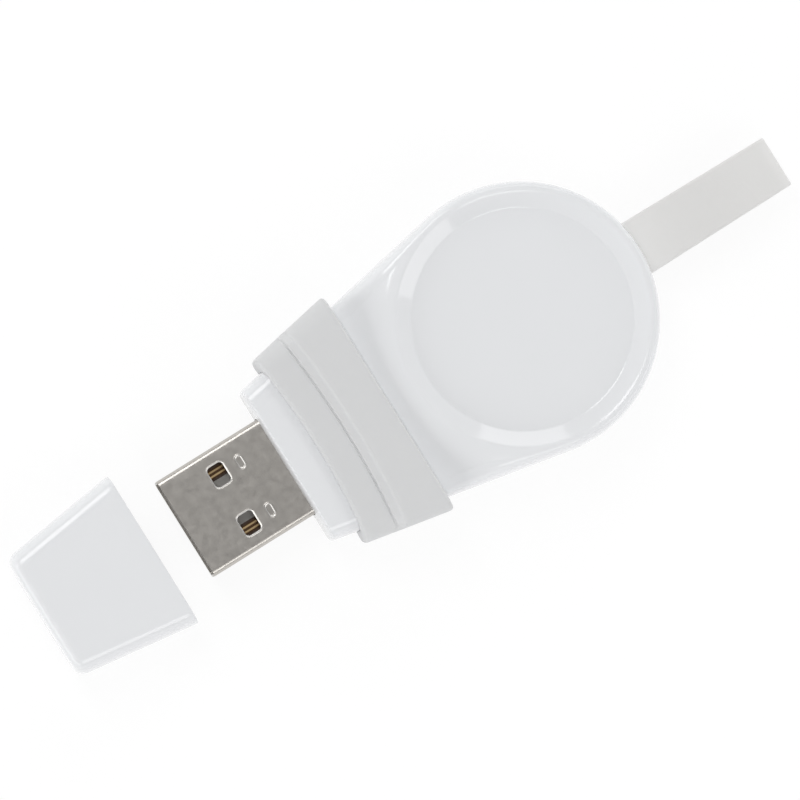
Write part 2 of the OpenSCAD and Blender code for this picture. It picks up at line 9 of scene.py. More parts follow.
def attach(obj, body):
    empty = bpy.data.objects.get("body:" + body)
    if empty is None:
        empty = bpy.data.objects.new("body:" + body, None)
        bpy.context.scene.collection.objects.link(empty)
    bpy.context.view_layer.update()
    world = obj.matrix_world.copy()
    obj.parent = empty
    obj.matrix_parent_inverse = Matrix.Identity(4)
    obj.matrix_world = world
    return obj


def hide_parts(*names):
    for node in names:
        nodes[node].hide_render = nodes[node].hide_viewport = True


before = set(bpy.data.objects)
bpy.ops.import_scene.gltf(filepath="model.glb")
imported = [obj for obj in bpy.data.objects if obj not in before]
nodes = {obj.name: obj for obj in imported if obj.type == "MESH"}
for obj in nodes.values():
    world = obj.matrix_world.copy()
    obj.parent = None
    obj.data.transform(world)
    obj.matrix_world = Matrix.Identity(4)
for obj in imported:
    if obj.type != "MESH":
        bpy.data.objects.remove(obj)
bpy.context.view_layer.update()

mm = 0.001
weldDistance = 2e-7
overcut = 1  # how far a cutting shape reaches past what it cuts


# shared shape helpers, all in millimetres until a mesh is made

def smooth(t):
    t = np.clip(t, 0, 1)
    return t * t * (3 - 2 * t)


def mix(a, b, t):
    return a + (b - a) * t


def steps(count):
    return np.linspace(0, 1, count + 1)


def quarter(count):
    return math.pi / 2 * steps(count)


def rounding(radius, count):
    return [(radius * (1 - math.cos(u)), radius * (1 - math.sin(u))) for u in quarter(count)]


def cornerArc(y, z, radius, start, count):
    angles = [math.radians(start + 90 * t) for t in steps(count)]
    return [(y + radius * math.cos(a), z + radius * math.sin(a)) for a in angles]


def roundedRect(width, height, radius, arc=8):
    y, z = width / 2 - radius, height / 2 - radius
    points = cornerArc(y, z, radius, 0, arc) + cornerArc(-y, z, radius, 90, arc)
    points += cornerArc(-y, -z, radius, 180, arc) + cornerArc(y, -z, radius, 270, arc)
    return np.array(points)


def atHeight(points, z):
    return np.column_stack([points, np.broadcast_to(z, (len(points),))])


def atLength(x, section):
    return np.column_stack([np.full(len(section), -x), section])


def addObject(name, data):
    added = bpy.data.objects.new(name, data)
    bpy.context.scene.collection.objects.link(added)
    return added


def gather(name, vertices, faces, sharpAngle=30):
    mesh = bpy.data.meshes.new(name)
    mesh.from_pydata((np.asarray(vertices) * mm).tolist(), [], faces)
    piece = addObject(name, mesh)
    finishMesh(piece, sharpAngle)
    return piece


def finishMesh(piece, sharpAngle=30):
    work = bmesh.new()
    work.from_mesh(piece.data)
    bmesh.ops.remove_doubles(work, verts=work.verts, dist=weldDistance)
    bmesh.ops.recalc_face_normals(work, faces=work.faces)
    work.to_mesh(piece.data)
    work.free()
    piece.data.polygons.foreach_set("use_smooth", [True] * len(piece.data.polygons))
    piece.data.set_sharp_from_angle(angle=math.radians(sharpAngle))


def loft(name, rings, loop=False, sharpAngle=30):
    count = len(rings[0])
    total = len(rings) * count
    faces = []
    for j in range(len(rings) if loop else len(rings) - 1):
        for i in range(count):
            n = (i + 1) % count
            a, b = j * count, (j + 1) * count % total
            faces.append((a + i, a + n, b + n, b + i))
    if not loop:
        faces.append(tuple(range(count - 1, -1, -1)))
        faces.append(tuple(range(total - count, total)))
    return gather(name, np.concatenate(rings), faces, sharpAngle)


def boxMesh(name, boxes):
    corners = [(0, 0, 0), (1, 0, 0), (1, 1, 0), (0, 1, 0),
               (0, 0, 1), (1, 0, 1), (1, 1, 1), (0, 1, 1)]
    sides = [(0, 3, 2, 1), (4, 5, 6, 7), (0, 1, 5, 4), (1, 2, 6, 5), (2, 3, 7, 6), (3, 0, 4, 7)]
    vertices, faces = [], []
    for low, high in boxes:
        base = len(vertices)
        vertices += [[mix(low[k], high[k], c[k]) for k in range(3)] for c in corners]
        faces += [tuple(base + v for v in side) for side in sides]
    return gather(name, vertices, faces)


def carve(piece, tools, operation="DIFFERENCE"):
    for tool in tools:
        cut = piece.modifiers.new("cut", "BOOLEAN")
        cut.operation = operation
        cut.solver = "EXACT"
        cut.object = tool
        with bpy.context.temp_override(object=piece, active_object=piece):
            bpy.ops.object.modifier_apply(modifier=cut.name)
        bpy.data.objects.remove(tool)
    finishMesh(piece)


# housing

housing = {
    "discRadius": 15.1, "neckLength": 30, "neckWidth": 18.9, "neckHeight": 8.4, "rimHeight": 10,
    "jointHeight": 4.2, "wall": 1.5, "floor": 1.1, "roof": 1.2, "neckEdge": 2, "rimEdge": 1,
    "footEdge": 1.3, "frontEdge": 0.5, "corner": 0.6, "cornerLeast": 0.1, "lipHeight": 0.8,
    "lipThickness": 0.6, "gap": 0.08, "fullness": 0.65, "seam": 0.05, "dishRadius": 12.1,
    "dishSlope": 1.75, "dishDepth": 1, "dishFillet": 0.12, "rimFillet": 0.2,
    "dishThickness": 0.9, "roofInset": 1, "crestOverlap": 0.01, "floorRings": (0.6, 2),
    "saddleEnd": 20.5, "edgeLength": 12.1, "arcSteps": 180, "sideSteps": 56, "cornerSteps": 12,
    "frontSteps": 24, "roofSteps": 8, "edgeSteps": 26, "saddleSteps": 70, "footSteps": 18,
    "dishSteps": (12, 5, 8),
}

discRadius, neckLength = housing["discRadius"], housing["neckLength"]
halfNeck = housing["neckWidth"] / 2
taper = math.asin(discRadius / math.hypot(neckLength, halfNeck)) - math.atan(halfNeck / neckLength)
crestRadius = discRadius - housing["rimEdge"]
plugHeight = housing["jointHeight"]


def halfWidth(x, inset=0):
    return (discRadius - inset) / math.cos(taper) - x * math.tan(taper)


def topHeight(distance):
    share = (distance - crestRadius) / (housing["saddleEnd"] - crestRadius)
    return mix(housing["rimHeight"], housing["neckHeight"], smooth(share))


def softRamp(x, low, high, lowFillet, highFillet):
    def rise(v, fillet):
        v = np.asarray(v, float)
        bend = (np.clip(v, -fillet, fillet) + fillet) ** 2 / (4 * fillet)
        return np.where(v > fillet, v, np.where(v < -fillet, 0, bend))
    return (rise(x - low, lowFillet) - rise(x - high, highFillet)) / (high - low)


def skinHeight(distance):
    h = housing
    low, high = h["dishRadius"], h["dishRadius"] + h["dishSlope"]
    drop = 1 - softRamp(distance, low, high, h["dishFillet"], h["rimFillet"])
    return topHeight(distance) - h["dishDepth"] * drop


def edgeWidth(x):
    share = smooth((x - discRadius * math.sin(taper)) / housing["edgeLength"])
    return mix(housing["rimEdge"], housing["neckEdge"], share)


def cornerPoint(side, front, share):
    k = max(housing["corner"] - (side + front) / 2, housing["cornerLeast"])
    a = mix(math.pi / 2 + taper, math.pi, share)
    x = neckLength - front - k
    return -x + k * math.cos(a), halfWidth(x, side + k) + k * math.sin(a)


def outline(side, front, rim=None):
    sides = np.broadcast_to(side, (housing["sideSteps"],))
    rim = sides[0] if rim is None else rim
    angles = mix(-math.pi / 2 - taper, math.pi / 2 + taper, steps(housing["arcSteps"]))
    arc = (discRadius - rim) * np.column_stack([np.cos(angles), np.sin(angles)])
    edge = []
    for t, d in zip(sideShares, sides):
        start = (-(discRadius - d) * math.sin(taper), (discRadius - d) * math.cos(taper))
        edge.append(mix(np.array(start), np.array(cornerPoint(d, d, 0)), t))
    edge += [cornerPoint(sides[-1], front, t) for t in steps(housing["cornerSteps"])]
    half, across = np.array(edge), steps(housing["frontSteps"])[1:-1, None]
    end = half[-1]
    return np.concatenate([arc, half, mix(end, end * (1, -1), across), half[::-1] * (1, -1)])


def evenOutline(inset):
    return outline(inset, inset)


sideShares = steps(housing["sideSteps"] + 1)[1:-1]
sideEdges = edgeWidth(mix(discRadius * math.sin(taper), neckLength - housing["corner"], sideShares))


def edgeOutline(share):
    return outline(sideEdges * share, housing["frontEdge"] * share, housing["rimEdge"] * share)


def roundShares(u):
    power = housing["fullness"]
    return 1 - math.cos(u) ** power, math.sin(u) ** power


def plugBar():
    p, grow = plug, housing["gap"]
    section = roundedRect(p["width"] + 2 * grow, p["height"] + 2 * grow, p["corner"] + grow)
    section[:, 1] += plugHeight
    ends = (neckLength + overcut, neckLength - p["inside"] - overcut)
    return loft("plugBar", [atLength(x, section) for x in ends])


def strapSlot():
    r = strap["pin"] / 2 + strap["gap"] + strap["thickness"]
    half, reach = r + strap["gap"], strap["width"] / 2 + 2 * strap["gap"]
    return boxMesh("strapSlot", [
        ((strap["pinAt"] - r - overcut, -reach, strap["height"] - half),
         (discRadius + overcut, reach, strap["height"] + half))])


def makeUpperHousing():
    h = housing
    joint, seam = h["jointHeight"], h["seam"]
    dishLow, dishHigh = h["dishRadius"], h["dishRadius"] + h["dishSlope"]
    edge = edgeOutline(1)
    distance = np.linalg.norm(edge, axis=1)
    edgeTop = skinHeight(distance)
    roofZ = h["rimHeight"] - h["dishDepth"] - h["dishThickness"]
    wallPlan = evenOutline(h["wall"])
    wallDistance = np.linalg.norm(wallPlan, axis=1)
    rings = []
    for s in steps(h["roofSteps"]):
        plan = wallPlan * mix((dishLow - h["roofInset"]) / wallDistance, 1, s)[:, None]
        roofTop = topHeight(np.linalg.norm(plan, axis=1)) - h["roof"]
        rings.append(atHeight(plan, np.minimum(roofZ, roofTop)))
    rebateTop = joint + h["lipHeight"] + h["gap"]
    rebate = evenOutline(h["wall"] - h["lipThickness"] - h["gap"])
    rings += [atHeight(wallPlan, rebateTop), atHeight(rebate, rebateTop), atHeight(rebate, joint)]
    rings.append(atHeight(evenOutline(seam), joint))
    for u in quarter(h["edgeSteps"]):
        inset, rise = roundShares(u)
        rings.append(atHeight(edgeOutline(inset), mix(joint + seam, edgeTop, rise)))
    crestEnd = dishHigh + h["rimFillet"] - h["crestOverlap"]
    crest = edge * (crestEnd / distance)[:, None]
    for t in steps(h["saddleSteps"])[1:]:
        plan = mix(edge, crest, t)
        rings.append(atHeight(plan, skinHeight(np.linalg.norm(plan, axis=1))))
    stops = [crestEnd, dishHigh - h["rimFillet"], dishLow + h["dishFillet"],
             dishLow - h["dishFillet"]]
    radii = []
    for start, end, count in zip(stops, stops[1:], h["dishSteps"]):
        radii += list(mix(start, end, steps(count)[1:]))
    radii += [dishLow - inward for inward in h["floorRings"]]
    for radius in radii:
        plan = edge * (radius / distance)[:, None]
        rings.append(atHeight(plan, skinHeight(np.full(len(plan), radius))))
    piece = loft("upperShell", rings)
    carve(piece, [plugBar(), strapSlot()])
    return piece


def makeLowerHousing():
    h = housing
    joint, seam = h["jointHeight"], h["seam"]
    rings = []
    for u in quarter(h["footSteps"])[::-1]:
        inset, fall = roundShares(u)
        rings.append(atHeight(evenOutline(h["footEdge"] * inset), (joint - seam) * (1 - fall)))
    lip, wall = evenOutline(h["wall"] - h["lipThickness"]), evenOutline(h["wall"])
    lipTop = joint + h["lipHeight"]
    rings += [atHeight(evenOutline(seam), joint), atHeight(lip, joint), atHeight(lip, lipTop),
              atHeight(wall, lipTop), atHeight(wall, h["floor"])]
    piece = loft("lowerShell", rings)
    low = -(sleeve["back"] + sleeve["tall"] + sleeve["low"] + h["gap"])
    high, reach = -(sleeve["back"] - h["gap"]), discRadius + overcut
    recess = boxMesh("recess", [((low, -reach, -overcut), (high, reach, sleeve["under"]))])
    carve(piece, [plugBar(), strapSlot(), recess])
    return piece


# sleeve

sleeve = {
    "back": 17.1, "tall": 4.9, "low": 4.8, "lowUp": 1.1, "stepUp": 1.2, "side": 1.5,
    "under": 0.9, "corner": 2, "holeCorner": 0.3, "bow": 0.6, "edge": 0.5, "foot": 0.15,
    "draft": 0.55, "crease": 0.26, "creaseDeep": 0.13, "arcSteps": 12, "acrossSteps": 24,
    "turnSteps": 8, "holeSteps": 24,
}


def sleeveSection(width, top, inset):
    radius, arc = sleeve["corner"], sleeve["arcSteps"]
    y, high, r = width - radius, top - radius, radius - inset
    flat = mix(y, -y, steps(sleeve["acrossSteps"])[1:-1])
    points = cornerArc(y, high, r, 0, arc) + [(v, top - inset) for v in flat]
    points += cornerArc(-y, high, r, 90, arc) + cornerArc(-y, radius, r, 180, arc)
    points += [(-v, inset) for v in flat] + cornerArc(y, radius, r, 270, arc)
    return np.array(points)


def neckSection(x):
    gap, under = housing["gap"] / 2, sleeve["under"] - housing["gap"]
    arc, flat = sleeve["arcSteps"], steps(sleeve["acrossSteps"])[1:-1]
    w, edge = halfWidth(x) + gap, edgeWidth(x)
    side = []
    for u in quarter(arc):
        inset, rise = roundShares(u)
        y = w - edge * inset
        side.append((y, mix(plugHeight, topHeight(math.hypot(x, y)) + gap, rise)))
    top, r = side[-1][0], sleeve["holeCorner"]
    points = side + [(y, topHeight(math.hypot(x, y)) + gap) for y in mix(top, -top, flat)]
    points += [(-y, z) for y, z in side[::-1]]
    points += cornerArc(r - w, under + r, r, 180, arc)
    points += [(y, under) for y in mix(r - w, w - r, flat)]
    points += cornerArc(w - r, under + r, r, 270, arc)
    return np.array(points)


def bowedRing(x, section, bow):
    shift = sleeve["bow"] * bow * (1 - (section[:, 0] / halfWidth(x)) ** 2)
    return np.column_stack([-x + shift, section])


def makeSleeve():
    s, neck = sleeve, housing["neckHeight"]
    back, front = s["back"], s["back"] + s["tall"] + s["low"]
    step = back + s["tall"] + s["edge"]
    low, tall = neck + s["lowUp"], neck + s["lowUp"] + s["stepUp"]
    edge, foot, crease = s["edge"], s["foot"], s["crease"]
    turn = rounding(edge, s["turnSteps"])
    footAt = step + s["draft"]
    foldAt = footAt + foot

    def ring(x, top, inset, bow):
        return bowedRing(x, sleeveSection(halfWidth(x) + s["side"], top, inset), bow)

    rings = [ring(front - a, low, b, 1) for a, b in turn]
    rings += [ring(mix(front - edge, foldAt + crease, t), low, 0, 1) for t in steps(6)[1:]]
    rings += [ring(foldAt + crease * (1 - t), low - s["creaseDeep"] * math.sin(math.pi * t), 0, 1)
              for t in steps(8)[1:-1]]
    rings += [ring(footAt + a, low + b, 0, 1) for a, b in rounding(foot, s["turnSteps"])[::-1]]
    rings += [ring(step - a, tall - b, 0, 1) for a, b in turn]
    rings += [ring(mix(step - edge, back + edge, t), tall, 0, 1 - t) for t in steps(8)[1:-1]]
    rings += [ring(back + a, tall, b, 0) for a, b in turn[::-1]]
    rings += [bowedRing(mix(back, front, t), neckSection(mix(back, front, t)), t)
              for t in steps(s["holeSteps"])]
    return loft("sleeveBand", rings, loop=True, sharpAngle=40)


# cap

cap = {
    "length": 14, "off": 4.1, "width": 18.7, "endWidth": 14.9, "wall": 1.1, "endWall": 0.9,
    "endRound": 1.1, "mouthRound": 0.12, "roomEdge": 0.5, "roomBevel": 0.4, "grip": 0.15,
    "rib": 0.9, "ribsAt": (-4, 0, 4), "ribStart": 1.5, "ribSink": 0.2, "sideSteps": 26,
    "acrossSteps": 16,
}


def capSection(width, inset, low, high, topEdge, footEdge):
    upper, lower = [], []
    for u in quarter(cap["sideSteps"]):
        inward, rise = roundShares(u)
        upper.append((width - inset - topEdge * inward, mix(plugHeight, high - inset, rise)))
        lower.append((width - inset - footEdge * inward, mix(plugHeight, low + inset, rise)))
    (topY, topZ), (lowY, lowZ) = upper[-1], lower[-1]
    flat = steps(cap["acrossSteps"])[1:-1]
    points = lower[:0:-1] + upper + [(mix(topY, -topY, t), topZ) for t in flat]
    points += [(-y, z) for y, z in upper[::-1]] + [(-y, z) for y, z in lower[1:]]
    points += [(mix(-lowY, lowY, t), lowZ) for t in flat]
    return np.array(points)


def makeCap():
    c, h = cap, housing
    openAt = neckLength + plug["length"] + c["off"]
    closeAt, wall, mouth, bevel = openAt + c["length"], c["wall"], c["mouthRound"], c["roomBevel"]
    roomEnd, roof = closeAt - c["endWall"], h["neckHeight"] - c["wall"]

    def half(x):
        return mix(c["width"], c["endWidth"], (x - openAt) / c["length"]) / 2

    def outer(x, inset):
        edges = (h["neckEdge"], h["footEdge"])
        return atLength(x, capSection(half(x), inset, 0, h["neckHeight"], *edges))

    def inner(x, inset):
        edges = (c["roomEdge"], c["roomEdge"])
        return atLength(x, capSection(half(x) - wall, inset, wall, roof, *edges))

    rings = [outer(closeAt - a, b) for a, b in rounding(c["endRound"], 14)]
    rings += [outer(mix(closeAt - c["endRound"], openAt + mouth, t), 0) for t in steps(10)[1:-1]]
    rings += [outer(openAt + b, a) for a, b in rounding(mouth, 4)]
    rings += [inner(openAt + a, -b) for a, b in rounding(mouth, 4)]
    rings += [inner(mix(openAt + mouth, roomEnd - bevel, t), 0) for t in steps(6)[1:]]
    rings += [inner(roomEnd - bevel * math.cos(u), bevel * (1 - math.cos(u)))
              for u in quarter(5)[1:]]
    piece = loft("capShell", rings)
    grip, sink = plug["height"] / 2 + c["grip"], c["ribSink"]
    ribs = []
    for y in c["ribsAt"]:
        for low, high in ((plugHeight + grip, roof + sink), (wall - sink, plugHeight - grip)):
            ribs.append(((-roomEnd - sink, y - c["rib"] / 2, low),
                         (-(openAt + c["ribStart"]), y + c["rib"] / 2, high)))
    carve(piece, [boxMesh("ribs", ribs)], "UNION")
    return piece


# strap loop

strap = {
    "width": 6.35, "tipWidth": 6, "reach": 33.5, "thickness": 1, "height": 3.1, "pin": 1.2,
    "pinAt": 11.3, "gap": 0.1, "edge": 0.3, "hollow": 0.35, "pinSteps": 20, "tipSteps": 24,
    "alongSteps": 40,
}


def makeStrap():
    s = strap
    half = s["thickness"] / 2
    mid = s["pin"] / 2 + s["gap"] + half
    start, end = s["pinAt"], s["reach"] - mid - half

    def bend(x, first, count):
        angles = [math.radians(first + 180 * t) for t in steps(count)]
        return [(x + mid * math.cos(a), mid * math.sin(a), math.cos(a), math.sin(a))
                for a in angles]

    along = steps(s["alongSteps"])[1:-1]
    path = bend(start, 90, s["pinSteps"]) + [(mix(start, end, t), -mid, 0, -1) for t in along]
    path += bend(end, 270, s["tipSteps"]) + [(mix(end, start, t), mid, 0, 1) for t in along]
    rings = []
    for x, z, nx, nz in path:
        share = max(0, (x - discRadius) / (s["reach"] - discRadius))
        width = mix(s["width"], s["tipWidth"], share)
        hollow = s["hollow"] * smooth((x - end) / mid)
        rings.append(np.array([
            (x + w * nx - hollow * (1 - (2 * y / width) ** 2), y, s["height"] + z + w * nz)
            for y, w in roundedRect(width, s["thickness"], s["edge"], arc=6)]))
    return loft("strapLoop", rings, loop=True)


# plug shell: a sheet with bevelled window rims, stamped dimples and a folded seam below

plug = {
    "length": 12.8, "width": 12, "height": 4.5, "sheet": 0.3, "corner": 0.6, "inside": 5.8,
    "mouthRound": 0.1, "windowWidth": 2.45, "windowLength": 1.9, "windowSide": 3.06,
    "windowBack": 6.2, "windowCorner": 0.45, "rim": 0.17, "rimSlope": 0.85, "dimpleBack": 8.9,
    "dimpleWidth": 1.5, "dimpleLength": 0.78, "dimpleDepth": 0.1, "dimpleWall": 0.15,
    "dimpleLip": 0.02, "lipAt": 0.08, "lipHalf": 0.1, "seam": 0.08, "seamDeep": 0.18,
    "seamPath": [(-1, 0), (4.6, 0), (4.2, 1.3), (6.4, 1.3), (6, 0), (18, 0)],
    # from the fade to the depth, these keys place the painted highlight on the window rims and
    # dimples
    "highlightFade": 0.06, "rimHighlightInset": 0.02, "dimpleHighlightShift": 0.04, "dimpleHighlightHalf": 1.5,
    "highlightDepth": 0.2, "cornerSteps": 10, "fineHalf": 1.5, "fineCount": 72, "middleHalf": 1.4,
    "middleCount": 12, "endsAt": (-5, 5), "innerRings": (9.5, 5, 0.02), "flatMargin": 1e-6,
}


def stampedEdges(x, y):  # distance outside a window and outside a dimple
    p = plug
    u, v = neckLength + p["length"] - x, np.abs(y) - p["windowSide"]
    r = p["windowCorner"]
    qx = np.abs(u - p["windowBack"]) - (p["windowLength"] / 2 - r)
    qy = np.abs(v) - (p["windowWidth"] / 2 - r)
    corner = np.hypot(np.maximum(qx, 0), np.maximum(qy, 0))
    outside = corner + np.minimum(np.maximum(qx, qy), 0) - r
    end = (p["dimpleWidth"] - p["dimpleLength"]) / 2
    middle = np.hypot(u - p["dimpleBack"], np.maximum(np.abs(v) - end, 0))
    return outside, middle - p["dimpleLength"] / 2


def sheetDrop(x, y):
    p = plug
    outside, beyond = stampedEdges(x, y)
    drop = p["rimSlope"] * np.maximum(p["rim"] - np.maximum(outside, 0), 0)
    drop += p["dimpleDepth"] * smooth(-beyond / p["dimpleWall"])
    drop -= p["dimpleLip"] * smooth(1 - np.abs(beyond - p["lipAt"]) / p["lipHalf"])
    return drop


def plugSection(radius, across):
    y, z = plug["width"] / 2 - plug["corner"], plug["height"] / 2 - plug["corner"]
    count = plug["cornerSteps"]
    points = cornerArc(y, z, radius, 0, count) + [(v, z + radius) for v in across]
    points += cornerArc(-y, z, radius, 90, count) + cornerArc(-y, -z, radius, 180, count)
    points += [(-v, -(z + radius)) for v in across] + cornerArc(y, -z, radius, 270, count)
    return np.array(points)


def plugPrism(name, plan, low, high):  # heights from the plug's middle
    return loft(name, [atHeight(plan, plugHeight + z) for z in (low, high)])


def plugWindows(mouth, halfH):
    cut = roundedRect(plug["windowLength"], plug["windowWidth"], plug["windowCorner"])
    x = -(mouth - plug["windowBack"])
    return [plugPrism("window", cut + (x, y), -halfH - overcut, halfH + overcut)
            for y in (-plug["windowSide"], plug["windowSide"])]


def plugSeam(mouth, halfH):
    path = [np.array(point, float) for point in plug["seamPath"]]
    strips = []
    for a, b in zip(path, path[1:]):
        along = plug["seam"] / 2 * (b - a) / np.linalg.norm(b - a)
        side = np.array([-along[1], along[0]])
        strip = np.array([a - along - side, b + along - side, b + along + side, a - along + side])
        strips.append(plugPrism("seam", strip - (mouth, 0), -halfH - overcut,
                                plug["seamDeep"] - halfH))
    return strips


# painted highlight: a lighter tone along the window rims and round the dimples of the plug sheet,
# standing in for glints there
def paintHighlights(piece, halfH):
    p, fade = plug, plug["highlightFade"]
    at = np.array([vertex.co for vertex in piece.data.vertices]) / mm
    outside, beyond = stampedEdges(-at[:, 0], at[:, 1])
    onRim = smooth((p["rim"] - p["rimHighlightInset"] - outside) / fade)
    onDimple = smooth(p["dimpleHighlightHalf"] - np.abs(beyond + p["dimpleHighlightShift"]) / fade)
    onSheet = np.abs(at[:, 2] - plugHeight) > halfH - p["highlightDepth"]
    highlighted = np.maximum(onRim, onDimple) * (onSheet & (-at[:, 0] > neckLength))
    piece.data.attributes.new("paintedHighlight", "FLOAT", "POINT").data.foreach_set("value", highlighted)


def makePlugShell():
    p = plug
    mouth, back = neckLength + p["length"], neckLength - p["inside"]
    halfH, r, lip, side = p["height"] / 2, p["corner"], p["mouthRound"], p["windowSide"]
    fine = np.linspace(side - p["fineHalf"], side + p["fineHalf"], p["fineCount"])
    middle = np.linspace(-p["middleHalf"], p["middleHalf"], p["middleCount"])
    across = np.sort(np.concatenate([-fine, middle, fine, p["endsAt"]]))[::-1]

    def ring(x, radius, drop=0):
        points = plugSection(radius, across)
        z = points[:, 1].copy()
        flat = np.abs(z) > halfH - r + radius - p["flatMargin"]
        z = np.where(flat, z - np.sign(z) * drop * sheetDrop(x, points[:, 0]), z)
        return atLength(x, np.column_stack([points[:, 0], z + plugHeight]))

    # places behind the mouth, closest along the windows and the dimples
    spans = [(lip, 4.9, 8), (5, 7.4, 60), (7.6, 8.2, 4), (8.3, 9.5, 34), (9.8, mouth - back, 8)]
    backs = np.concatenate([np.linspace(*span) for span in spans])[1:]
    rings = [ring(mouth - b, r - a) for a, b in rounding(lip, 6)[::-1]]
    rings += [ring(mouth - u, r, 1) for u in backs]
    rings += [ring(x, r - p["sheet"]) for x in (back, *(mouth - u for u in p["innerRings"]))]
    piece = loft("plugShell", rings, loop=True)
    carve(piece, plugWindows(mouth, halfH) + plugSeam(mouth, halfH))
    paintHighlights(piece, halfH)
    return piece


# materials

def feed(tree, node, inputs):
    for key, value in inputs.items():
        if isinstance(value, bpy.types.NodeSocket):
            tree.links.new(value, node.inputs[key])
        else:
            node.inputs[key].default_value = value


def place(tree, kind, inputs=None, **settings):
    node = tree.nodes.new(kind)
    for key, value in settings.items():
        setattr(node, key, value)
    feed(tree, node, inputs or {})
    return node


def compute(tree, operation, *values, **settings):
    inputs = dict(enumerate(values))
    return place(tree, "ShaderNodeMath", inputs, operation=operation, **settings).outputs[0]


def newGroup(name, inputs, outputs):
    tree = bpy.data.node_groups.new(name, "ShaderNodeTree")
    kinds = {"float": "NodeSocketFloat", "color": "NodeSocketColor"}
    for label, kind, value in inputs:
        socket = tree.interface.new_socket(name=label, in_out="INPUT", socket_type=kinds[kind])
        socket.default_value = value
    for label, kind in outputs:
        tree.interface.new_socket(name=label, in_out="OUTPUT", socket_type=kinds[kind])
    return tree, tree.nodes.new("NodeGroupInput").outputs, tree.nodes.new("NodeGroupOutput")


def makeMottle():
    tree, given, result = newGroup(
        "surfaceMottle",
        [("Colour", "color", (0.8, 0.8, 0.8, 1)), ("Colour Change", "float", 0.02),
         ("Scale", "float", 300.0), ("Roughness", "float", 0.3),
         ("Roughness Change", "float", 0.1)],
        [("Color", "color"), ("Roughness", "float"), ("Height", "float")])
    where = place(tree, "ShaderNodeTexCoord")
    noise = place(tree, "ShaderNodeTexNoise", {
        "Vector": where.outputs["Object"], "Scale": given["Scale"], "Detail": 4.0,
        "Roughness": 0.6}).outputs["Fac"]
    centred = compute(tree, "SUBTRACT", noise, 0.5)
    shade = compute(tree, "MULTIPLY_ADD", centred, given["Colour Change"], 1.0)
    tint = place(tree, "ShaderNodeVectorMath", {0: given["Colour"], "Scale": shade},
                 operation="SCALE")
    rough = compute(tree, "MULTIPLY_ADD", centred, given["Roughness Change"], given["Roughness"])
    feed(tree, result, {"Color": tint.outputs[0], "Roughness": rough, "Height": noise})
    return tree


def makeDust():
    tree, given, result = newGroup(
        "dustSpecks",
        [("Scale", "float", 500.0), ("Size", "float", 0.08), ("Share", "float", 0.1)],
        [("Mask", "float")])
    where = place(tree, "ShaderNodeTexCoord")
    cells = place(tree, "ShaderNodeTexVoronoi",
                  {"Vector": where.outputs["Object"], "Scale": given["Scale"]}, feature="F1")
    near = compute(tree, "LESS_THAN", cells.outputs["Distance"], given["Size"])
    split = place(tree, "ShaderNodeSeparateColor", {0: cells.outputs["Color"]})
    chosen = compute(tree, "LESS_THAN", split.outputs[0], given["Share"])
    feed(tree, result, {"Mask": compute(tree, "MULTIPLY", near, chosen)})
    return tree


contacts = {"inner": 1, "outer": 3.5, "leastUp": 0.5}


# the bands carry painted shade on the tongue, and painted reflection and glints on the contacts
def makeBands():  # one band along each contact, on faces that look up
    tree, given, result = newGroup(
        "contactBands", [("Half Width", "float", 0.0005)], [("Mask", "float")])
    where = place(tree, "ShaderNodeTexCoord")
    value = place(tree, "ShaderNodeSeparateXYZ", {0: where.outputs["Object"]}).outputs["Y"]
    inner, outer = contacts["inner"], contacts["outer"]
    for middle in (0, (outer + inner) / 2, (outer - inner) / 2):  # folds all four onto one
        value = compute(tree, "ABSOLUTE", compute(tree, "SUBTRACT", value, middle * mm))
    inside = compute(tree, "LESS_THAN", value, given["Half Width"])
    facing = place(tree, "ShaderNodeSeparateXYZ", {0: where.outputs["Normal"]})
    above = compute(tree, "GREATER_THAN", facing.outputs["Z"], contacts["leastUp"])
    feed(tree, result, {"Mask": compute(tree, "MULTIPLY", inside, above)})
    return tree


mottle, dust, bands = makeMottle(), makeDust(), makeBands()

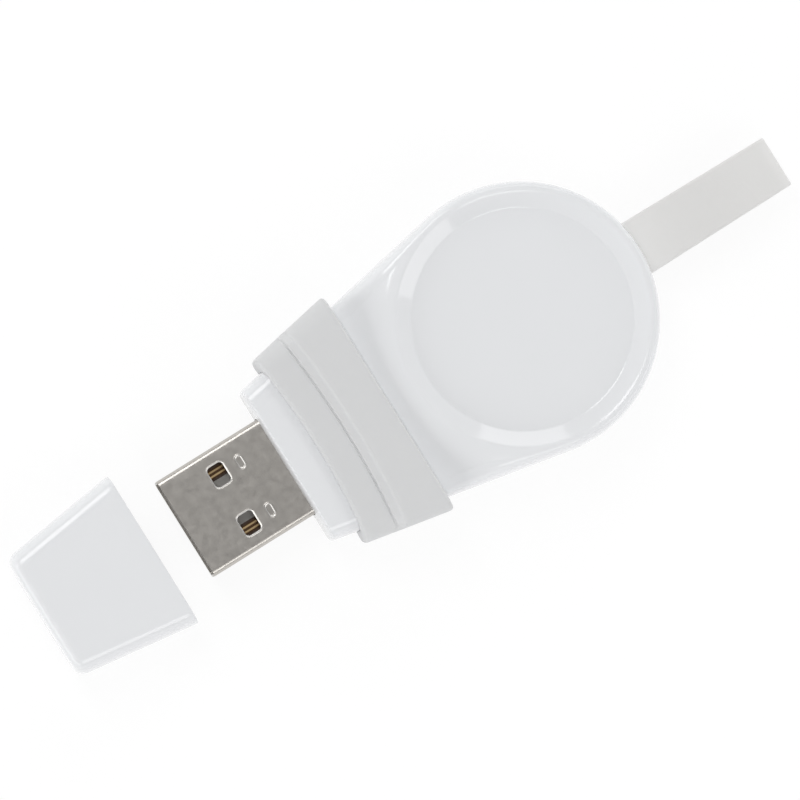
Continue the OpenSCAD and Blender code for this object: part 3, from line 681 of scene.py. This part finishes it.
speckScale, speckTone, bumpDistance = 420, 0.8, 0.0001
common = dict(roughnessChange=0.1, bump=0.05, bumpScale=2500, dust=0)
silicone = dict(colourChange=0.03, scale=900, roughnessChange=0.12, bump=0.12, bumpScale=2600,
                dust=0.05, fixed={"Sheen Weight": 0.15})
# the brown is a painted dark reflection on the gold contacts, and gold the painted glint lines
# along them
gold, darkReflection = (0.75, 0.55, 0.3), (0.14, 0.08, 0.045)
finishes = {
    "glossWhite": dict(colour=(0.81, 0.82, 0.835), colourChange=0.02, scale=160, roughness=0.1,
                       roughnessChange=0.04, bump=0.02, bumpScale=900, dust=0.02,
                       fixed={"Specular IOR Level": 0.5, "IOR": 1.5}),
    "greySilicone": dict(silicone, colour=(0.66, 0.665, 0.67), roughness=0.62),
    "paleSilicone": dict(silicone, colour=(0.755, 0.75, 0.74), roughness=0.6),
    # platedShell's second, lighter tone is a painted highlight on the window rims and dimples
    "platedShell": dict(colour=(0.53, 0.506, 0.473), colourChange=0.16, scale=1100,
                        roughness=0.32, roughnessChange=0.2, bump=0.06, bumpScale=1800,
                        metal=True, highlightTone=(0.74, 0.725, 0.7)),
    "drawnSteel": dict(colour=(0.55, 0.55, 0.54), colourChange=0.1, scale=900, roughness=0.3,
                       bump=0.03, metal=True),
    # tongueGrey's dark brown bands are painted shade in the contact slots, darkening the tongue
    # around each contact
    "tongueGrey": dict(colour=(0.62, 0.6, 0.57), colourChange=0.08, scale=900, roughness=0.5,
                       bands=[(0.76, (0.12, 0.07, 0.045))]),
    # goldContact: a brown base as painted dark reflection, with two gold lines along each contact
    # as painted glints
    "goldContact": dict(colour=darkReflection, colourChange=0.25, scale=1500, roughness=0.3,
                        roughnessChange=0.15, bump=0.03, bumpScale=3000, metal=True,
                        bands=[(0.34, gold), (0.14, darkReflection)]),
    "solderMask": dict(colour=(0.03, 0.14, 0.05), colourChange=0.2, scale=700, roughness=0.35,
                       bumpScale=2000),
    "chipBlack": dict(colour=(0.02, 0.02, 0.022), colourChange=0.2, scale=1500, roughness=0.5,
                      roughnessChange=0.15, bumpScale=3500),
    "ferriteGrey": dict(colour=(0.05, 0.05, 0.055), colourChange=0.2, scale=1200, roughness=0.7,
                        roughnessChange=0.15, bump=0.1),
    "capacitorTan": dict(colour=(0.45, 0.32, 0.17), colourChange=0.15, scale=1800,
                         roughness=0.5, bumpScale=3000),
    "copperWire": dict(colour=(0.72, 0.32, 0.14), colourChange=0.2, scale=900, roughness=0.3,
                       metal=True),
    "trayPlastic": dict(colour=(0.75, 0.75, 0.73), colourChange=0.03, scale=700, roughness=0.5),
    "magnetNickel": dict(colour=(0.55, 0.55, 0.55), colourChange=0.1, scale=900, roughness=0.2,
                         bump=0.03, metal=True),
}


def blendColour(tree, mask, under, tone):
    # the sockets are the factor and the two colours
    blend = place(tree, "ShaderNodeMix", {0: mask, 6: under, 7: (*tone, 1)}, data_type="RGBA")
    return blend.outputs[2]


def makeFinish(name):
    f = {**common, **finishes[name]}
    material = bpy.data.materials.new(name)
    material.use_nodes = True
    tree = material.node_tree
    shader = tree.nodes["Principled BSDF"]
    base = place(tree, "ShaderNodeGroup", {
        "Colour": (*f["colour"], 1), "Colour Change": f["colourChange"], "Scale": f["scale"],
        "Roughness": f["roughness"], "Roughness Change": f["roughnessChange"]}, node_tree=mottle)
    colour = base.outputs["Color"]
    if f["dust"]:
        specks = place(tree, "ShaderNodeGroup", {"Scale": speckScale, "Share": f["dust"]},
                       node_tree=dust)
        tone = [c * speckTone for c in f["colour"]]
        colour = blendColour(tree, specks.outputs["Mask"], colour, tone)
    # bands: painted shade on the tongue, painted dark reflection and glint lines on the contacts
    for reach, tone in f.get("bands", []):
        band = place(tree, "ShaderNodeGroup", {"Half Width": reach * mm}, node_tree=bands)
        colour = blendColour(tree, band.outputs["Mask"], colour, tone)
    # painted highlight on the plug's window rims and dimples, read from a mesh attribute
    if "highlightTone" in f:
        painted = place(tree, "ShaderNodeAttribute", attribute_name="paintedHighlight")
        colour = blendColour(tree, painted.outputs["Fac"], colour, f["highlightTone"])
    grain = place(tree, "ShaderNodeGroup", {"Scale": f["bumpScale"]}, node_tree=mottle)
    bump = place(tree, "ShaderNodeBump", {
        "Strength": f["bump"], "Distance": bumpDistance, "Height": grain.outputs["Height"]})
    feed(tree, shader, {"Base Color": colour, "Roughness": base.outputs["Roughness"],
                        "Normal": bump.outputs["Normal"], **f.get("fixed", {})})
    if f.get("metal"):
        shader.inputs["Metallic"].default_value = 1
    return material


materials = {name: makeFinish(name) for name in finishes}
print("materials:", len(materials))


def dress(piece, finish):
    piece.data.materials.clear()
    piece.data.materials.append(materials[finish])


made = [
    (makeUpperHousing, "upper_housing", "charger", "glossWhite", "gloss_white"),
    (makeLowerHousing, "lower_housing", "charger", "glossWhite", "gloss_white"),
    (makeSleeve, "sleeve", "charger", "greySilicone", "grey_silicone"),
    (makeCap, "cap", "cap", "glossWhite", "gloss_white"),
    (makeStrap, "strap_loop", "charger", "paleSilicone", "pale_silicone"),
    (makePlugShell, "usb_shell", "charger", "platedShell", "plated_shell"),
]
for make, node, body, finish, slot in made:
    piece = make()
    dress(piece, finish)
    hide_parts(node)
    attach(piece, body)
    print("piece:", piece.name, len(piece.data.polygons), "faces")

finishNodes = {
    "drawnSteel": ["strap_pin", "magnet_plate"],
    "tongueGrey": ["usb_tongue"],
    "goldContact": ["usb_contact_1", "usb_contact_2", "usb_contact_3", "usb_contact_4"],
    "solderMask": ["circuit_board"],
    "chipBlack": ["control_chip", "bridge_chip"],
    "ferriteGrey": ["power_inductor", "ferrite_ring"],
    "capacitorTan": ["capacitor_1", "capacitor_2", "capacitor_3", "capacitor_4"],
    "copperWire": ["charging_coil", "coil_lead_1", "coil_lead_2"],
    "trayPlastic": ["coil_tray"],
    "magnetNickel": ["magnet"],
}
for finish, names in finishNodes.items():
    for name in names:
        dress(nodes[name], finish)
print("nodes dressed:", sum(len(names) for names in finishNodes.values()))


# studio

studio = {
    "floorSize": 8.0, "floorDrop": 0.03, "floorColour": (0.9, 0.9, 0.9), "whiteShare": 0.86,
    "glow": 1.03, "zenith": 0.37, "wall": 1.2, "wallLow": 0.18, "wallHigh": 0.42,
    "lampDistance": 0.9,
}
lamps = {
    "topBox": dict(azimuth=84, elevation=33, size=(0.55, 0.34), radiance=2.2),
    "rightBox": dict(azimuth=-25, elevation=33, size=(0.55, 0.34), radiance=2.2),
    "leftBox": dict(azimuth=131, elevation=57, size=(0.26, 0.52), radiance=4.4),
    "lowBox": dict(azimuth=293, elevation=55, size=(0.3, 0.44), radiance=2.7),
    "plugBox": dict(azimuth=212, elevation=14, size=(1.1, 0.35), radiance=1.8),
}
view = {"middle": (-15.65, -0.4, 6), "width": 86.5, "distance": 900, "turn": 31.9, "lean": 5,
        "sensor": 36, "nearest": 10}
white = (1, 1, 1, 1)


def makeFloor():
    s = studio["floorSize"] / 2
    mesh = bpy.data.meshes.new("floor")
    mesh.from_pydata([(-s, -s, 0), (s, -s, 0), (s, s, 0), (-s, s, 0)], [], [(0, 1, 2, 3)])
    floor = addObject("floor", mesh)
    floor.location.z = -studio["floorDrop"] * mm
    material = bpy.data.materials.new("paleFloor")
    material.use_nodes = True
    tree = material.node_tree
    tree.nodes.clear()
    path = place(tree, "ShaderNodeLightPath")
    seen = path.outputs["Is Camera Ray"]
    for ray in ("Is Glossy Ray", "Is Transmission Ray"):
        seen = compute(tree, "ADD", seen, path.outputs[ray], use_clamp=True)
    share = compute(tree, "MULTIPLY", seen, studio["whiteShare"])
    matt = place(tree, "ShaderNodeBsdfDiffuse", {"Color": (*studio["floorColour"], 1)})
    glow = place(tree, "ShaderNodeEmission", {"Color": white, "Strength": studio["glow"]})
    mixed = place(tree, "ShaderNodeMixShader", {0: share, 1: matt.outputs[0], 2: glow.outputs[0]})
    place(tree, "ShaderNodeOutputMaterial", {"Surface": mixed.outputs[0]})
    mesh.materials.append(material)


def makeWorld():
    world = bpy.data.worlds.new("studio")
    bpy.context.scene.world = world
    world.use_nodes = True
    tree = world.node_tree
    where = place(tree, "ShaderNodeTexCoord")
    split = place(tree, "ShaderNodeSeparateXYZ", {0: where.outputs["Generated"]})
    ramp = place(tree, "ShaderNodeMapRange", {
        "Value": split.outputs["Z"], "From Min": studio["wallLow"], "From Max": studio["wallHigh"],
        "To Min": studio["wall"], "To Max": studio["zenith"]}, interpolation_type="SMOOTHSTEP")
    feed(tree, tree.nodes["Background"], {"Color": white, "Strength": ramp.outputs[0]})


def makeLamps():
    turn = math.radians(-view["turn"])
    for name, box in lamps.items():
        light = bpy.data.lights.new(name, "AREA")
        light.shape = "RECTANGLE"
        light.size, light.size_y = box["size"]
        light.energy = box["radiance"] * math.pi * box["size"][0] * box["size"][1]
        lamp = addObject(name, light)
        a, e = math.radians(box["azimuth"]) + turn, math.radians(box["elevation"])
        spot = np.array([math.cos(a) * math.cos(e), math.sin(a) * math.cos(e), math.sin(e)])
        lamp.location = spot * studio["lampDistance"]
        lamp.rotation_euler = (math.pi / 2 - e, 0, a + math.pi / 2)


def makeCamera():
    data = bpy.data.cameras.new("camera")
    camera = addObject("camera", data)
    lean = Matrix.Rotation(math.radians(-view["lean"]), 4, "Y")
    turn = Matrix.Rotation(math.radians(-view["turn"]), 4, "Z")
    middle = Matrix.Translation([v * mm for v in view["middle"]])
    camera.matrix_world = middle @ lean @ turn @ Matrix.Translation((0, 0, view["distance"] * mm))
    data.sensor_width = view["sensor"]
    data.lens = view["sensor"] * view["distance"] / view["width"]
    data.clip_start = view["nearest"] * mm
    bpy.context.scene.camera = camera


makeFloor()
makeWorld()
makeLamps()
makeCamera()
bpy.context.scene.view_settings.view_transform = "Standard"
print("studio ready")
